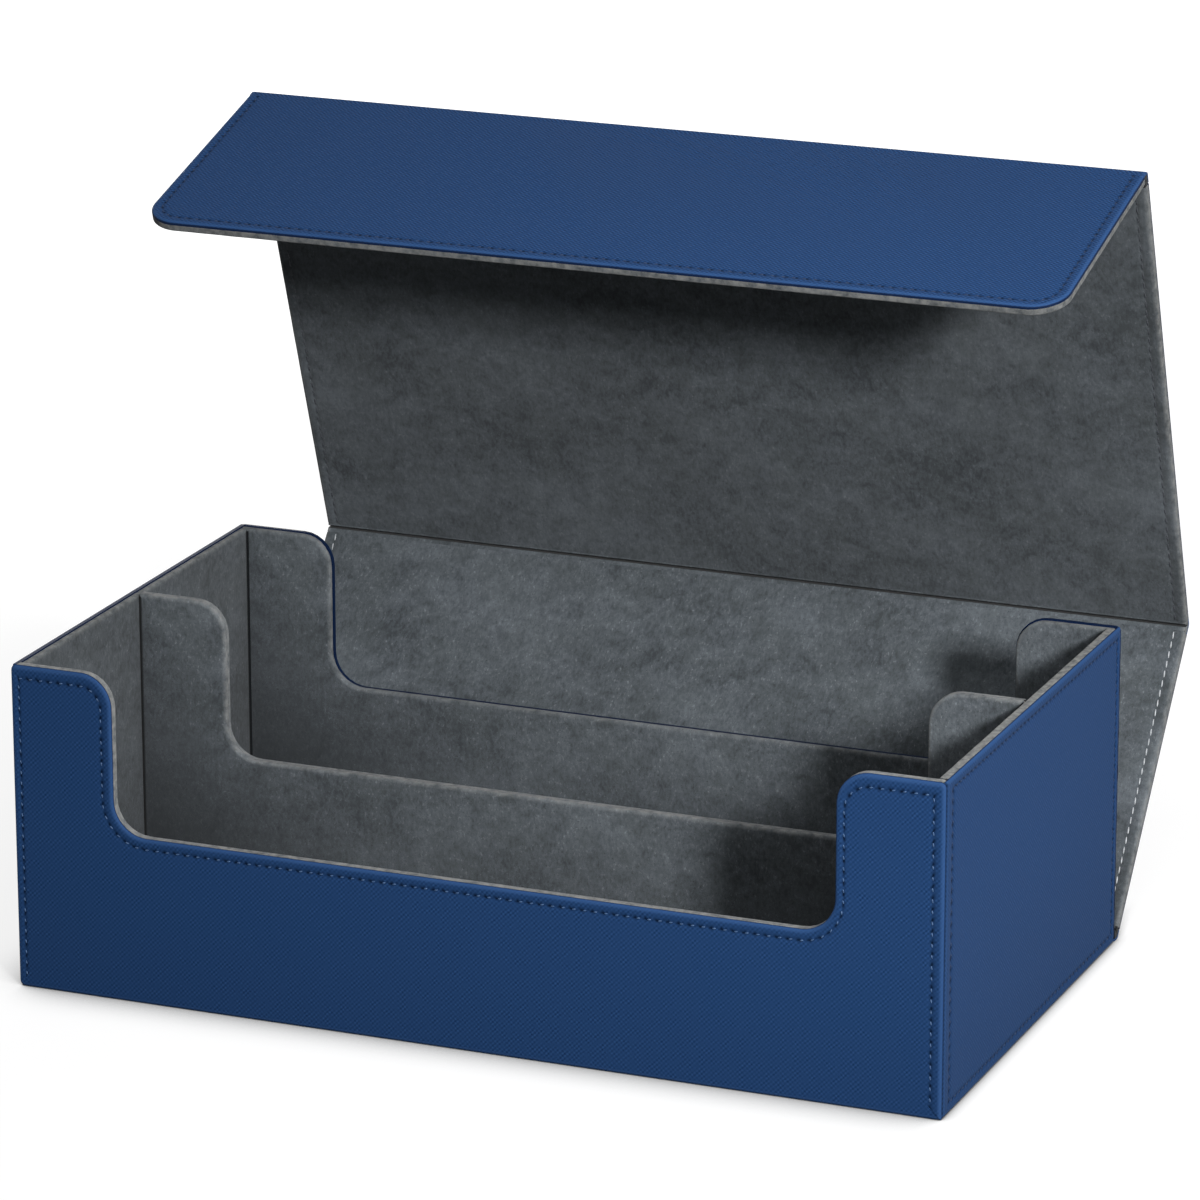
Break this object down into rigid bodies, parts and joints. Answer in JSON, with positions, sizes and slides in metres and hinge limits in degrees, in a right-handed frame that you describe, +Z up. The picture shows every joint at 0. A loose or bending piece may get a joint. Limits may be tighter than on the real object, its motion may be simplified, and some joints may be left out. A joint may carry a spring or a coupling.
{
  "type": "card storage box",
  "caption": "Card storage box: lined open tray with a divider and U-shaped finger notches, under a wrap-around hinged cover of back, top and front flap with a magnetic closure.",
  "frame": {"origin": "centre of the tray's underside, on the surface that the box stands on", "axes": "+X to the box's right along its rows, +Y to the rear towards the cover's hinge, +Z up"},
  "size_m": [0.316, 0.2469, 0.2566],
  "materials": {
    "leatherette": "satin",
    "microsuede": "matte",
    "greyboard": "matte",
    "magnet": "satin"
  },
  "bodies": {
    "tray": {"front_skin": "leatherette", "front_board": "greyboard", "front_suede": "microsuede", "rear_skin": "leatherette", "rear_board": "greyboard", "rear_suede": "microsuede", "left_skin": "leatherette", "left_board": "greyboard", "left_suede": "microsuede", "right_skin": "leatherette", "right_board": "greyboard", "right_suede": "microsuede", "base_skin": "leatherette", "base_board": "greyboard", "front_floor_suede": "microsuede", "rear_floor_suede": "microsuede", "divider_board": "greyboard", "divider_front_suede": "microsuede", "divider_rear_suede": "microsuede", "front_magnets": "magnet", "lower_fold_skin": "leatherette", "lower_fold_suede": "microsuede"},
    "back_panel": {"back_skin": "leatherette", "back_board": "greyboard", "back_suede": "microsuede", "upper_fold_skin": "leatherette", "upper_fold_suede": "microsuede"},
    "top_panel": {"top_skin": "leatherette", "top_board": "greyboard", "top_suede": "microsuede", "flap_fold_skin": "leatherette", "flap_fold_suede": "microsuede"},
    "flap": {"flap_skin": "leatherette", "flap_board": "greyboard", "flap_suede": "microsuede", "flap_magnets": "magnet"}
  },
  "joints": [
    {"name": "lower_fold", "type": "hinge", "parent": "tray", "child": "back_panel", "pos_m": [0, 0.0883, 0.0018], "axis": [-1, 0, 0], "range_deg": [-39.4, 50.6]},
    {"name": "upper_fold", "type": "hinge", "parent": "back_panel", "child": "top_panel", "pos_m": [0, 0.15914, 0.08804], "axis": [-1, 0, 0], "range_deg": [-31.4, 58.6]},
    {"name": "flap_fold", "type": "hinge", "parent": "top_panel", "child": "flap", "pos_m": [0, 0.10106, 0.25481], "axis": [-1, 0, 0], "range_deg": [-3.5, 86.5]}
  ]
}
